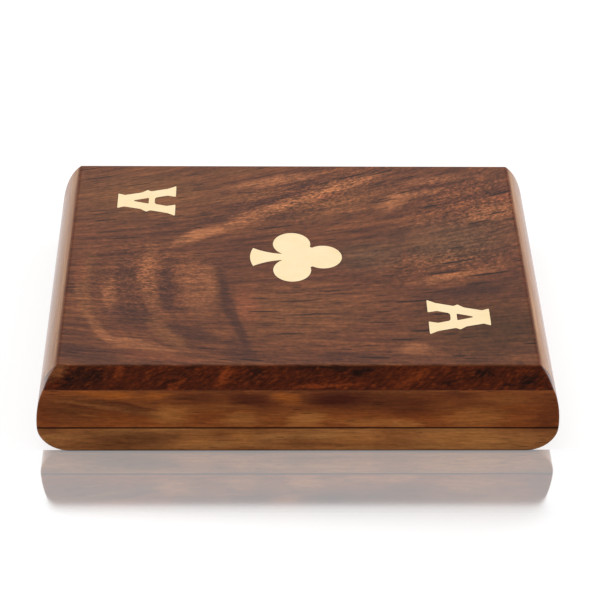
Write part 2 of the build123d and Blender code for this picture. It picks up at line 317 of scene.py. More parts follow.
# Figure of the bevel along the front of the top board
BEVEL_STREAKS = (
    (HONEY, -72, -51, 40, 6, 2.8, 0, 0.6),
    (INK, -62, -51.8, 20, 9, 4, 0, 0.75),
    (INK, -67.5, -52.2, 38, 7, 2.2, 0, 1.0),
    (EMBER, -53.5, -51, 60, 4, 2.2, 0, 0.25),
    (INK, -38, -52, 28, 9, 1, 0, 0.5),
    (EMBER, -38, -53.5, 25, 9, 0.9, 0, 0.25),
    (INK, -32.5, -49.8, 4, 3.5, 0.8, 0, 0.7),
    (EMBER, -22.5, -52, 35, 5, 2.2, 0, 0.42),
    (INK, -13, -51.5, 60, 5, 4, 0, 0.65),
    (EMBER, 8, -54, 5, 14, 0.8, 0, 0.5),
    (INK, 7, -49.9, 3, 20, 0.9, 0, 0.9),
    (INK, 19, -50.5, 8, 9, 1.3, 0, 0.95),
    (EMBER, 34, -52, 20, 10, 2, 0, 0.3),
    (INK, 56, -51.2, 18, 9, 1.6, 0, 0.95),
    (INK, 46, -53.6, 14, 5, 0.9, 0, 0.7),
    (INK, 63, -54.2, 6, 3, 0.7, 0, 0.6),
    (INK, 69, -53.2, 12, 6, 1.6, 0, 0.95),
)

# Figure of the front board, which runs on across the seam: places are x and z
FRONT_STREAKS = (
    (SMOKE, 0, 21, 0, 120, 8, 0, 0.4),
    (FLAME, -58, 22.6, -5, 18, 2.6, 0, 0.6),
    (FLAME, -52.5, 22, -20, 5, 2.6, 0, 0.5),
    (FLAME, -41.5, 22.3, 5, 4.5, 2.4, 0, 0.55),
    (SMOKE, -50, 16.5, -14, 20, 3.2, 0, 0.7),
    (GOLD, -38, 14.5, 5, 9, 5.5, 0, 0.6),
    (RUSSET, -31, 21.5, -6, 9, 3.6, 0, 0.5),
    (RUSSET, -15, 20.5, -12, 13, 4.5, 0, 0.75),
    (FLAME, -4, 21.5, -14, 6, 2.8, 0, 0.65),
    (RUSSET, 12, 21, -3, 14, 5.5, 0, 0.95),
    (RUSSET, 30, 19, -4, 18, 6, 0, 0.6),
    (GOLD, -18.5, 13, 0, 9, 4, 0, 0.55),
    (GOLD, 3.5, 13.2, 2, 9, 4.6, 0, 0.7),
    (GOLD, 22, 12, 0, 16, 3.2, 0, 0.45),
    (GOLD, 32, 11, 0, 8, 2.6, 0, 0.5),
    (GOLD, 54, 14, 3, 14, 5.5, 0, 0.45),
    (GOLD, 62, 21, 0, 10, 3, 0, 0.2),
    (RUSSET, 45, 22.5, 0, 12, 2.6, 0, 0.35),
    (RUSSET, 76, 14, -6, 7, 12, 0, 0.5),
    (RUSSET, -76, 14, 6, 6, 12, 0, 0.35),
    (SMOKE, -52, 4.5, 0, 26, 5.5, 0, 0.6),
    (GOLD, -31, 5, 0, 8, 5, 0, 0.5),
    (GOLD, -17, 6, 0, 7, 5, 0, 0.55),
    (SMOKE, 2, 4, 0, 8, 6, 0, 0.25),
    (GOLD, 18, 5, 3, 12, 5, 0, 0.42),
    (GOLD, 50, 6, 4, 14, 5, 0, 0.38),
    (SMOKE, 70, 4, 0, 10, 6, 0, 0.25),
    (GOLD, 58, 5, 0, 30, 6, 0, 0.12),
    (SMOKE, -67, 17, 0, 13, 10, 0, 0.5),
    (GOLD, -66, 19.4, -13, 12, 0.9, 0, 0.2),
    (RUSSET, -62, 17.3, -13, 14, 0.9, 0, 0.4),
    (GOLD, -56, 17.2, -14, 14, 0.9, 0, 0.2),
    (RUSSET, -51, 18.2, -14, 12, 1.0, 0, 0.45),
    (GOLD, -62, 14.4, -12, 12, 0.8, 0, 0.18),
)

# Felt linings: radius of the cut edge, swell of the nap, the nap's waves in radians per millimetre
# along X, along Y and aslant, and points along each side
FELT_EDGE_MM = 0.6
FELT_NAP_MM = 0.05
FELT_NAP_WAVES = (0.83, 0.71, 0.29)
FELT_POINTS = 90


def linear(hex_colour):
    """Turn an sRGB hex colour to linear red, green, blue and alpha, by the sRGB curve."""
    srgb = np.array([int(hex_colour[start:start + 2], 16) for start in (1, 3, 5)]) / 255
    rgb = np.where(srgb <= 0.04045, srgb / 12.92, ((srgb + 0.055) / 1.055) ** 2.4)
    return (*rgb.tolist(), 1.0)


def add_node(tree, kind, inputs=None, stops=(), **settings):
    """Add one node, set it up, and set or link its inputs; stops are those of a colour ramp."""
    node = tree.nodes.new(kind)
    for name, value in settings.items():
        setattr(node, name, value)
    for name, value in (inputs or {}).items():
        if isinstance(value, bpy.types.NodeSocket):
            tree.links.new(value, node.inputs[name])
        else:
            node.inputs[name].default_value = value
    for index, (place, colour) in enumerate(stops):
        elements = node.color_ramp.elements
        element = elements[index] if index < 2 else elements.new(place)
        element.position = place
        element.color = linear(colour)
    return node


def start_material(name, sockets):
    """A material with one Principled surface that has these values: returns it, its tree and the shader."""
    material = bpy.data.materials.new(name)
    material.use_nodes = True
    tree = material.node_tree
    tree.nodes.clear()
    shader = add_node(tree, "ShaderNodeBsdfPrincipled", sockets)
    add_node(tree, "ShaderNodeOutputMaterial", {"Surface": shader.outputs["BSDF"]})
    return material, tree, shader


def finish_surface(tree, shader, colour, rough=None, relief=None):
    """Give the shader its colour, a roughness that a noise moves from one value to another,
    and the relief of a noise, with its strength and its height in millimetres."""
    tree.links.new(colour, shader.inputs["Base Color"])
    if rough:
        noise, first, last = rough
        swing = {"Value": noise, "To Min": first, "To Max": last}
        roughness = add_node(tree, "ShaderNodeMapRange", swing).outputs["Result"]
        tree.links.new(roughness, shader.inputs["Roughness"])
    if relief:
        noise, strength, height = relief
        bump = {"Height": noise, "Strength": strength, "Distance": height * MM}
        normal = add_node(tree, "ShaderNodeBump", bump).outputs["Normal"]
        tree.links.new(normal, shader.inputs["Normal"])


def place_in_mm(tree, turn=ALONG):
    """Object coordinates in millimetres, turned about Z where the boards lie across."""
    place = add_node(tree, "ShaderNodeTexCoord").outputs["Object"]
    settings = {"Vector": place, "Scale": (1 / MM, 1 / MM, 1 / MM), "Rotation": (0, 0, turn)}
    return add_node(tree, "ShaderNodeMapping", settings).outputs["Vector"]


def grain(tree, fibre, length, width, turn=0.0, detail=NOISE_DETAIL):
    """Soft noise drawn out along the fibres: streaks about so many millimetres long and wide,
    turned by some degrees."""
    turned = (0, 0, math.radians(turn))
    drawn_out = {"Vector": fibre, "Scale": (length, width, width), "Rotation": turned}
    streaks = add_node(tree, "ShaderNodeMapping", drawn_out, vector_type="TEXTURE").outputs["Vector"]
    settings = {"Vector": streaks, "Scale": 1.0, "Detail": detail, "Roughness": NOISE_ROUGHNESS}
    return add_node(tree, "ShaderNodeTexNoise", settings).outputs["Fac"]


def pores(tree, fibre, length, width, gap, patch):
    """Vessels cut open along the fibres: thin dashes, about a gap apart, that come in patches of some size.

    A vessel of sheesham is about 0.2 mm wide. The larger ones are drawn wider, so that they show.
    """
    stretch = length / width * gap
    drawn_out = {"Vector": fibre, "Scale": (stretch, gap, gap)}
    dashes = add_node(tree, "ShaderNodeMapping", drawn_out, vector_type="TEXTURE").outputs["Vector"]
    cells = add_node(tree, "ShaderNodeTexVoronoi", {"Vector": dashes, "Scale": 1.0}).outputs["Distance"]
    crowd = grain(tree, fibre, length=patch * 2, width=patch)
    reach = {"Value": crowd, "From Min": PATCH_START, "From Max": PATCH_FULL, "To Max": width / gap}
    reach = add_node(tree, "ShaderNodeMapRange", reach).outputs["Result"]
    depth = add_node(tree, "ShaderNodeMath", {0: reach, 1: cells}, operation="SUBTRACT").outputs[0]
    limits = {"Value": depth, "From Max": width / gap / 2}
    return add_node(tree, "ShaderNodeMapRange", limits, interpolation_type="SMOOTHSTEP").outputs["Result"]


def flecked(tree, colour, value, hue, strength, start=0.0, full=1.0):
    """Lay a hue over a colour, from nothing where a value is at start to its strength where it is full."""
    rise = {"Value": value, "From Min": start, "From Max": full, "To Max": strength}
    mask = add_node(tree, "ShaderNodeMapRange", rise, interpolation_type="SMOOTHSTEP").outputs["Result"]
    layers = {"Factor": mask, "A": colour, "B": linear(hue)}
    return add_node(tree, "ShaderNodeMix", layers, data_type="RGBA").outputs[2]


def outer_line(tree, place, level, half_height):
    """1 on a thin level line round the outside of the box, and 0 elsewhere."""
    around = add_node(tree, "ShaderNodeVectorMath", {0: place}, operation="ABSOLUTE").outputs["Vector"]
    depth = half_height * 2
    skin = {0: around, 1: (HALF_WIDTH_MM - depth, -FRONT_MM - depth, level)}
    past = add_node(tree, "ShaderNodeVectorMath", skin, operation="SUBTRACT").outputs["Vector"]
    x, y, z = add_node(tree, "ShaderNodeSeparateXYZ", {"Vector": past}).outputs
    outwards = add_node(tree, "ShaderNodeMath", {0: x, 1: y}, operation="MAXIMUM").outputs[0]
    reach = {"Value": outwards, "From Max": half_height}
    outside = add_node(tree, "ShaderNodeMapRange", reach).outputs["Result"]
    off = add_node(tree, "ShaderNodeMath", {0: z}, operation="ABSOLUTE").outputs[0]
    first = half_height * (1 + LINE_BLUR)
    near = {"Value": off, "From Min": first, "From Max": half_height * (1 - LINE_BLUR)}
    level_line = add_node(tree, "ShaderNodeMapRange", near).outputs["Result"]
    return add_node(tree, "ShaderNodeMath", {0: outside, 1: level_line}, operation="MULTIPLY").outputs[0]


def fanned_fibre(tree, place):
    """Fibres of the top board, which fan out to the right: the second axis is constant along each.

    A fibre's slope is rise + fan * y + turn * x, so along it
    (y + turn / fan * x + rise / fan + turn / fan squared) * exp(-fan * x) doesn't change.
    """
    x, y, z = add_node(tree, "ShaderNodeSeparateXYZ", {"Vector": place}).outputs
    shear = FIBRE_TURN / FIBRE_FAN
    origin = FIBRE_RISE / FIBRE_FAN + FIBRE_TURN / FIBRE_FAN ** 2
    sheared = add_node(tree, "ShaderNodeMath", {0: x, 1: shear, 2: y}, operation="MULTIPLY_ADD").outputs[0]
    risen = add_node(tree, "ShaderNodeMath", {0: sheared, 1: origin}, operation="ADD").outputs[0]
    fan = add_node(tree, "ShaderNodeMath", {0: x, 1: -FIBRE_FAN}, operation="MULTIPLY").outputs[0]
    spread = add_node(tree, "ShaderNodeMath", {0: fan}, operation="EXPONENT").outputs[0]
    across = add_node(tree, "ShaderNodeMath", {0: risen, 1: spread}, operation="MULTIPLY").outputs[0]
    return add_node(tree, "ShaderNodeCombineXYZ", {0: x, 1: across, 2: z}).outputs["Vector"]


def frayed(tree, place, fibre, frays):
    """Place, shifted along and across by drawn-out noises, so that what is drawn there is frayed."""
    for length, width, along, across in frays:
        drawn_out = {"Vector": fibre, "Scale": (length, width, width)}
        threads = add_node(tree, "ShaderNodeMapping", drawn_out, vector_type="TEXTURE").outputs["Vector"]
        settings = {"Vector": threads, "Scale": 1.0, "Detail": NOISE_DETAIL}
        noise = add_node(tree, "ShaderNodeTexNoise", settings).outputs["Color"]
        middle = {0: noise, 1: (0.5, 0.5, 0.5)}
        centred = add_node(tree, "ShaderNodeVectorMath", middle, operation="SUBTRACT").outputs["Vector"]
        shift = {0: centred, 1: (2 * along, 2 * across, 2 * across), 2: place}
        place = add_node(tree, "ShaderNodeVectorMath", shift, operation="MULTIPLY_ADD").outputs["Vector"]
    return place


def lay_streaks(tree, colour, place, streaks, level, depth, fade=SOFT_FADE, upright=False):
    """Lay soft streaks over a colour: each is a bent ellipse that fades from its middle to its edge.

    They lie on a level face at that height, or on an upright face that far along Y, and reach so deep.
    """
    for hue, x, up, turn, half_length, half_width, bend, strength in streaks:
        angle = math.radians(turn)
        streak_frame = {
            "Vector": place,
            "Location": (x, level, up) if upright else (x, up, level),
            "Rotation": (math.pi / 2, -angle, 0) if upright else (0, 0, angle),
            "Scale": (half_length, half_width, depth),
        }
        local = add_node(tree, "ShaderNodeMapping", streak_frame, vector_type="TEXTURE").outputs["Vector"]
        if bend:
            square = {0: local, 1: local}
            square = add_node(tree, "ShaderNodeVectorMath", square, operation="MULTIPLY").outputs["Vector"]
            sag = {"Vector": square, "Scale": (bend, 0, 0), "Rotation": (0, 0, math.pi / 2)}
            sagged = add_node(tree, "ShaderNodeMapping", sag).outputs["Vector"]
            bent = {0: local, 1: sagged}
            local = add_node(tree, "ShaderNodeVectorMath", bent, operation="ADD").outputs["Vector"]
        ball = add_node(tree, "ShaderNodeTexGradient", {"Vector": local}, gradient_type="SPHERICAL")
        rise = {"Value": ball.outputs["Fac"], "From Max": fade, "To Max": strength}
        mask = add_node(tree, "ShaderNodeMapRange", rise, interpolation_type="SMOOTHSTEP").outputs["Result"]
        layers = {"Factor": mask, "A": colour, "B": linear(hue)}
        colour = add_node(tree, "ShaderNodeMix", layers, data_type="RGBA").outputs[2]
    return colour


def shaded(tree, colour, noises):
    """Colour times a brightness that each noise moves up and down by its share."""
    for noise, share in noises:
        swing = {
            "Value": noise,
            "From Min": NOISE_LOW,
            "From Max": NOISE_HIGH,
            "To Min": 1 - share,
            "To Max": 1 + share,
        }
        level = add_node(tree, "ShaderNodeMapRange", swing, clamp=False).outputs["Result"]
        scaled = {0: colour, "Scale": level}
        colour = add_node(tree, "ShaderNodeVectorMath", scaled, operation="SCALE").outputs["Vector"]
    return colour


def sawn_edge(tree, place, tones, vessel_length):
    """Narrow edge of a board: growth lines that lie level with its face, and the marks of the vessels."""
    growth = grain(tree, place, length=18, width=0.9)
    colour = add_node(tree, "ShaderNodeValToRGB", {"Fac": growth}, tones).outputs["Color"]
    vessels = pores(tree, place, length=vessel_length, width=0.3, gap=1.1, patch=8)
    return flecked(tree, colour, vessels, PORE, strength=0.4)


def planed_face(tree, place, fibre, rough_place):
    """Flat face of the top board: returns its colour, and the noises of its fibres and of its relief."""
    broad = grain(tree, fibre, length=30, width=3.0)
    colour = add_node(tree, "ShaderNodeValToRGB", {"Fac": broad}, TOP_TONES).outputs["Color"]
    smooth_place = frayed(tree, place, fibre, SMOOTH_FRAYS)
    figure = (
        (rough_place, BROAD_ZONES, SOFT_FADE),
        (smooth_place, CATHEDRAL_BANDS, CATHEDRAL_FADE),
        (rough_place, SLANTING_BANDS, BAND_FADE),
    )
    for figure_place, streaks, fade in figure:
        colour = lay_streaks(tree, colour, figure_place, streaks, TOP_MM, FIGURE_DEPTH_MM, fade)
    late_wood = grain(tree, fibre, length=26, width=1.3)
    fine = grain(tree, fibre, length=7, width=0.9)
    sand = grain(tree, fibre, length=1.5, width=0.95, detail=FINE_DETAIL)
    hair = grain(tree, fibre, length=9, width=0.22, detail=FINE_DETAIL)
    colour = shaded(tree, colour, ((late_wood, 0.18), (fine, 0.26), (sand, 0.28), (hair, 0.2)))
    dust = grain(tree, fibre, length=1.1, width=0.6)
    rippled = shaded(tree, colour, ((sand, 0.45), (dust, 0.75)))
    zones = lay_streaks(tree, linear(MASK_OFF), place, RIPPLED_ZONES, TOP_MM, FACE_DEPTH_MM)
    layers = {"Factor": zones, "A": colour, "B": rippled}
    colour = add_node(tree, "ShaderNodeMix", layers, data_type="RGBA").outputs[2]
    thread_place = frayed(tree, place, fibre, THREAD_FRAYS)
    colour = lay_streaks(tree, colour, thread_place, LONG_PORES, TOP_MM, FIGURE_DEPTH_MM)
    vessels = pores(tree, fibre, length=8.0, width=0.5, gap=1.9, patch=12)
    short_vessels = pores(tree, fibre, length=3.0, width=0.4, gap=1.4, patch=7)
    pored = flecked(tree, colour, vessels, PORE, strength=0.85)
    pored = flecked(tree, pored, short_vessels, PORE, strength=0.65)
    closed = lay_streaks(tree, linear(MASK_OFF), place, CLOSE_ZONES, TOP_MM, FACE_DEPTH_MM)
    layers = {"Factor": closed, "A": pored, "B": colour}
    colour = add_node(tree, "ShaderNodeMix", layers, data_type="RGBA").outputs[2]
    return colour, fine, sand


def lay_edges(tree, colour, place, aside, y):
    """Lay the darker rim of the flat face over a colour, and the sawn back edge and end grain past it."""
    back_edge = sawn_edge(tree, place, BACK_EDGE_TONES, vessel_length=3.0)
    end_grain = sawn_edge(tree, place_in_mm(tree, ACROSS), END_GRAIN_TONES, vessel_length=0.4)
    rim_start = FLAT_HALF_MM - RIM_MM
    colour = flecked(tree, colour, aside, RUSSET, strength=0.35, start=rim_start, full=FLAT_HALF_MM)
    edges = (
        (back_edge, y, BACK_MM - EASE_MM, BACK_MM),
        (end_grain, aside, FLAT_HALF_MM + END_GRAIN_START_MM, FLAT_HALF_MM + END_GRAIN_FULL_MM),
    )
    for edge_colour, reach, start, full in edges:
        past = {"Value": reach, "From Min": start, "From Max": full}
        on_edge = add_node(tree, "ShaderNodeMapRange", past).outputs["Result"]
        layers = {"Factor": on_edge, "A": colour, "B": edge_colour}
        colour = add_node(tree, "ShaderNodeMix", layers, data_type="RGBA").outputs[2]
    return colour


def lay_bevel(tree, colour, place, rough_place, y, height):
    """Lay the bevel over a colour: it cuts the fibres aslant, dark red with inky and glowing marks."""
    slope_fibre = grain(tree, place, length=7, width=0.9, turn=30)
    slope_sand = grain(tree, place, length=5, width=0.55, turn=32)
    slope = lay_streaks(tree, linear(BEVEL_GROUND), rough_place, BEVEL_STREAKS, TOP_MM, FIGURE_DEPTH_MM)
    slope = flecked(tree, slope, slope_fibre, EMBER, strength=0.25, start=0.5, full=0.75)
    slope = flecked(tree, slope, slope_fibre, INK, strength=0.45, start=0.5, full=0.28)
    slope = shaded(tree, slope, ((slope_sand, 0.35),))
    edge = {"Value": height, "From Min": TOP_MM - BEVEL_START_MM, "From Max": TOP_MM - BEVEL_FULL_MM}
    below = add_node(tree, "ShaderNodeMapRange", edge).outputs["Result"]
    bevel = {0: y, 1: FRONT_MM + BEVEL_MM}
    ahead = add_node(tree, "ShaderNodeMath", bevel, operation="LESS_THAN").outputs[0]
    on_slope = add_node(tree, "ShaderNodeMath", {0: below, 1: ahead}, operation="MULTIPLY").outputs[0]
    layers = {"Factor": on_slope, "A": colour, "B": slope}
    return add_node(tree, "ShaderNodeMix", layers, data_type="RGBA").outputs[2]


def rubbed_coat(tree, aside):
    """Weight of the lacquer on the top board: thin on the rubbed edges, and fuller on the rounded ends."""
    middle = {0: aside, 1: RUBBED_MIDDLE_MM}
    past_edge = add_node(tree, "ShaderNodeMath", middle, operation="SUBTRACT").outputs[0]
    from_edge = add_node(tree, "ShaderNodeMath", {0: past_edge}, operation="ABSOLUTE").outputs[0]
    whole = {
        "Value": past_edge,
        "From Min": -RUBBED_HALF_MM,
        "From Max": RUBBED_END_MM,
        "To Min": COAT_WEIGHT,
        "To Max": END_COAT_WEIGHT,
    }
    whole_coat = add_node(tree, "ShaderNodeMapRange", whole).outputs["Result"]
    rubbed = {
        "Value": from_edge,
        "From Min": RUBBED_HALF_MM,
        "From Max": RUBBED_END_MM,
        "To Min": RUBBED_COAT_WEIGHT,
        "To Max": whole_coat,
    }
    return add_node(tree, "ShaderNodeMapRange", rubbed).outputs["Result"]


def sheesham_top():
    """Flat-sawn sheesham heartwood, planed, oiled, lacquered and waxed: dark, with amber bands that bend
    round a cathedral, open pores, and a satin skin that turns milky where it mirrors the white room
    and is worn off along the edges beside the ends."""
    sockets = {**LACQUER, "Coat Weight": COAT_WEIGHT}
    material, tree, shader = start_material("oiled_sheesham_heartwood", sockets)
    place = place_in_mm(tree)
    fibre = fanned_fibre(tree, place)
    rough_place = frayed(tree, place, fibre, ROUGH_FRAYS)
    colour, fine, sand = planed_face(tree, place, fibre, rough_place)
    x, y, height = add_node(tree, "ShaderNodeSeparateXYZ", {"Vector": place}).outputs
    aside = add_node(tree, "ShaderNodeMath", {0: x}, operation="ABSOLUTE").outputs[0]
    colour = lay_edges(tree, colour, place, aside, y)
    colour = lay_bevel(tree, colour, place, rough_place, y, height)
    finish_surface(tree, shader, colour, rough=(fine, *SATIN), relief=(sand, 0.15, 0.05))
    tree.links.new(rubbed_coat(tree, aside), shader.inputs["Coat Weight"])
    return material


def sheesham_rail(name, turn, streaks, coat):
    """Straight-grained sheesham of the rails, sanded round, lacquered and waxed: golden brown with smoky
    russet zones, short pores, painted shade in the sawn seam and along the foot, a dark glue line, and a
    satin skin."""
    material, tree, shader = start_material(name, {**LACQUER, "Coat Weight": coat})
    place = place_in_mm(tree, turn)
    broad = grain(tree, place, length=34, width=4.0)
    colour = add_node(tree, "ShaderNodeValToRGB", {"Fac": broad}, RAIL_TONES).outputs["Color"]
    unturned = place_in_mm(tree)
    _, y, height = add_node(tree, "ShaderNodeSeparateXYZ", {"Vector": unturned}).outputs
    seam_start = SEAM_MM - SEAM_BLEND_MM
    seam_full = SEAM_MM + SEAM_BLEND_MM
    redder = flecked(tree, colour, height, LID_RED, strength=0.75, start=seam_start, full=seam_full)
    behind = RAIL_BACK_MM + RAIL_BLEND_MM
    near = {"Value": y, "From Min": behind, "From Max": RAIL_BACK_MM, "To Min": RED_BEHIND}
    near_front = add_node(tree, "ShaderNodeMapRange", near).outputs["Result"]
    layers = {"Factor": near_front, "A": colour, "B": redder}
    colour = add_node(tree, "ShaderNodeMix", layers, data_type="RGBA").outputs[2]
    rough_place = frayed(tree, place, place, RAIL_FRAYS)
    colour = lay_streaks(
        tree, colour, rough_place, streaks, FRONT_MM, FRONT_DEPTH_MM, fade=BAND_FADE, upright=True
    )
    late_wood = grain(tree, place, length=30, width=1.4)
    curl = grain(tree, rough_place, length=3.2, width=1.1, detail=FINE_DETAIL)
    fine = grain(tree, place, length=7, width=0.6)
    sand = grain(tree, place, length=1.4, width=0.6, detail=FINE_DETAIL)
    hair = grain(tree, place, length=9, width=0.2, detail=FINE_DETAIL)
    noises = ((late_wood, 0.12), (fine, 0.16), (curl, 0.13), (sand, 0.1), (hair, 0.16))
    colour = shaded(tree, colour, noises)
    vessels = pores(tree, place, length=2.6, width=0.17, gap=0.9, patch=7)
    colour = flecked(tree, colour, vessels, PORE, strength=0.7)
    # Painted shade in the sawn seam and along the eased foot, and the real dark glue line under the top
    # board
    seam = outer_line(tree, unturned, SEAM_MM, SEAM_SHADE_MM)
    glue = outer_line(tree, unturned, JOINT_MM, GLUE_LINE_MM)
    foot = outer_line(tree, unturned, level=0.0, half_height=FOOT_EASE_MM)
    for line, strength in ((seam, 0.92), (glue, 0.5), (foot, 0.8)):
        colour = flecked(tree, colour, line, SHADE_AND_GLUE_DARK, strength)
    finish_surface(tree, shader, colour, rough=(fine, *SATIN), relief=(sand, 0.15, 0.04))
    return material


def bottom_board():
    """Thin sheesham board, only sanded and oiled: dull brown, with straight grain and fine scratches
    across it."""
    material, tree, shader = start_material("sanded_sheesham_board", {"IOR": 1.5})
    place = place_in_mm(tree)
    broad = grain(tree, place, length=60, width=6.0)
    colour = add_node(tree, "ShaderNodeValToRGB", {"Fac": broad}, BOARD_TONES).outputs["Color"]
    fine = grain(tree, place, length=12, width=0.8)
    scratches = grain(tree, place, length=9, width=0.35, turn=80)
    colour = shaded(tree, colour, ((fine, 0.18), (scratches, 0.07)))
    vessels = pores(tree, place, length=4.0, width=0.3, gap=1.3, patch=8)
    colour = flecked(tree, colour, vessels, PORE, strength=0.6)
    finish_surface(tree, shader, colour, rough=(scratches, 0.5, 0.72), relief=(scratches, 0.3, 0.04))
    return material


def brass_inlay():
    """Pale brass sheet, sanded flush with the wood along the board and buffed: even and bright, with a
    faint drawn lustre. The buffing lines are drawn about three times as wide as they are, so that
    they show."""
    material, tree, shader = start_material("buffed_brass_sheet", {"Metallic": 1.0})
    place = place_in_mm(tree)
    buffing = grain(tree, place, length=12, width=0.3)
    cloud = grain(tree, place, length=9, width=9)
    colour = add_node(tree, "ShaderNodeValToRGB", {"Fac": cloud}, INLAY_TONES).outputs["Color"]
    colour = shaded(tree, colour, ((buffing, 0.02),))
    finish_surface(tree, shader, colour, rough=(buffing, 0.2, 0.32))
    return material


def worn_brass(name, grit, bright, dull):
    """Yellow brass with worn lacquer: clear and bright in places, browner and duller where tarnished."""
    material, tree, shader = start_material(name, {"Metallic": 1.0})
    place = place_in_mm(tree)
    patina = grain(tree, place, length=grit * 4, width=grit * 4, detail=4.0)
    stops = ((0.38, dull), (0.58, bright))
    colour = add_node(tree, "ShaderNodeValToRGB", {"Fac": patina}, stops).outputs["Color"]
    scuffs = grain(tree, place, length=grit * 8, width=grit * 0.5, turn=12)
    colour = shaded(tree, colour, ((scuffs, 0.06),))
    finish_surface(tree, shader, colour, rough=(patina, 0.46, 0.2), relief=(scuffs, 0.25, 0.02))
    return material


def wool_felt():
    """Pressed wool felt, dyed maroon: matted fibres that lie every way, with a soft sheen over the nap."""
    sockets = {
        "Roughness": 0.95,
        "Specular IOR Level": 0.2,
        "Sheen Weight": 0.35,
        "Sheen Roughness": 0.5,
        "Sheen Tint": linear(FELT_SHEEN),
    }
    material, tree, shader = start_material("maroon_wool_felt", sockets)
    place = place_in_mm(tree)
    matted = frayed(tree, place, place, FELT_FRAYS)
    fibres = grain(tree, matted, length=1.4, width=0.35, turn=25, detail=FINE_DETAIL)
    matting = grain(tree, place, length=3.0, width=3.0)
    colour = add_node(tree, "ShaderNodeValToRGB", {"Fac": fibres}, FELT_TONES).outputs["Color"]
    colour = shaded(tree, colour, ((matting, 0.1),))
    finish_surface(tree, shader, colour, relief=(fibres, 0.6, 0.15))
    return material


def felt_lining(node, material):
    """Felt laid in a well: flat below, and above flat but for its rounded rim and the swell of its nap.

    The top stands at high - edge * (1 - sqrt(1 - t squared)) + nap, where t runs from 1 on the cut edge
    to 0 one edge radius inside it, and the nap is a product of sines that dies out towards the cut edge.
    """
    low, high = (np.array(corner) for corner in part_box(node))
    spread = (1 - np.cos(np.linspace(0, math.pi, FELT_POINTS))) / 2
    width, length, _ = high - low
    x, y = np.meshgrid(low[0] + spread * width, low[1] + spread * length, indexing="ij")
    inside = np.minimum(np.minimum(x - low[0], high[0] - x), np.minimum(y - low[1], high[1] - y))
    edge = FELT_EDGE_MM * MM
    rim = np.clip(1 - inside / edge, 0, 1)
    wave_x, wave_y, slant = FELT_NAP_WAVES
    nap = np.sin(x / MM * wave_x) * np.sin(y / MM * wave_y + x / MM * slant)
    nap = FELT_NAP_MM * MM * (nap - 1) * (1 - rim)
    top = high[2] - edge * (1 - np.sqrt(1 - rim ** 2)) + nap
    count = x.size
    levels = (top, np.full_like(x, low[2]))
    places = np.concatenate([np.stack([x, y, z], -1).reshape(-1, 3) for z in levels])
    index = np.arange(count).reshape(x.shape)
    corners = (index[:-1, :-1], index[1:, :-1], index[1:, 1:], index[:-1, 1:])
    upper = np.stack(corners, -1).reshape(-1, 4)
    border = np.concatenate([index[:-1, 0], index[-1, :-1], index[:0:-1, -1], index[0, :0:-1]])
    onward = np.roll(border, -1)
    sides = np.stack([border, border + count, onward + count, onward], -1)
    faces = np.concatenate([upper, upper[:, ::-1] + count, sides])
    mesh = bpy.data.meshes.new(node + "_cloth")
    mesh.from_pydata(places.tolist(), [], faces.tolist())
    mesh.polygons.foreach_set("use_smooth", np.arange(len(faces)) < len(upper))
    mesh.materials.append(material)
    lining = bpy.data.objects.new(node + "_cloth", mesh)
    bpy.context.scene.collection.objects.link(lining)
    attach(lining, "base")
    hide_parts(node)


def white_room():
    """World that lights the box at a plain level and looks white."""
    world = bpy.data.worlds.new("white_room")
    bpy.context.scene.world = world
    world.use_nodes = True
    tree = world.node_tree
    tree.nodes.clear()
    path = add_node(tree, "ShaderNodeLightPath").outputs
    direction = add_node(tree, "ShaderNodeTexCoord").outputs["Generated"]
    towards = {0: direction, 1: CARD_TOWARDS}
    towards = add_node(tree, "ShaderNodeVectorMath", towards, operation="DOT_PRODUCT").outputs["Value"]
    card = {
        "Value": towards,
        "From Min": math.cos(math.radians(CARD_DARK_DEG)),
        "From Max": math.cos(math.radians(CARD_EDGE_DEG)),
        "To Min": DARK_CARD,
    }
    mirrored = add_node(tree, "ShaderNodeMapRange", card).outputs["Result"]
    by_gloss = {"Factor": path["Is Glossy Ray"], "A": ROOM_LIGHT, "B": mirrored}
    strength = add_node(tree, "ShaderNodeMix", by_gloss).outputs[0]
    clear = {0: path["Is Camera Ray"], 1: path["Is Transmission Ray"]}
    seen = add_node(tree, "ShaderNodeMath", clear, operation="MAXIMUM").outputs[0]
    strength = add_node(tree, "ShaderNodeMix", {"Factor": seen, "A": strength, "B": 1.0}).outputs[0]
    white = add_node(tree, "ShaderNodeBackground", {"Color": (1, 1, 1, 1), "Strength": strength})
    add_node(tree, "ShaderNodeOutputWorld", {"Surface": white.outputs[0]})


def softbox(name, size, place, power, mirrored):
    """Square lamp at a place, turned to the box, which shows in what shines if it is mirrored."""
    lamp = bpy.data.lights.new(name, "AREA")
    lamp.shape = "SQUARE"
    lamp.size = size
    lamp.energy = power
    holder = bpy.data.objects.new(name, lamp)
    bpy.context.scene.collection.objects.link(holder)
    holder.location = place
    holder.rotation_euler = holder.location.to_track_quat("Z", "Y").to_euler()
    holder.visible_glossy = mirrored


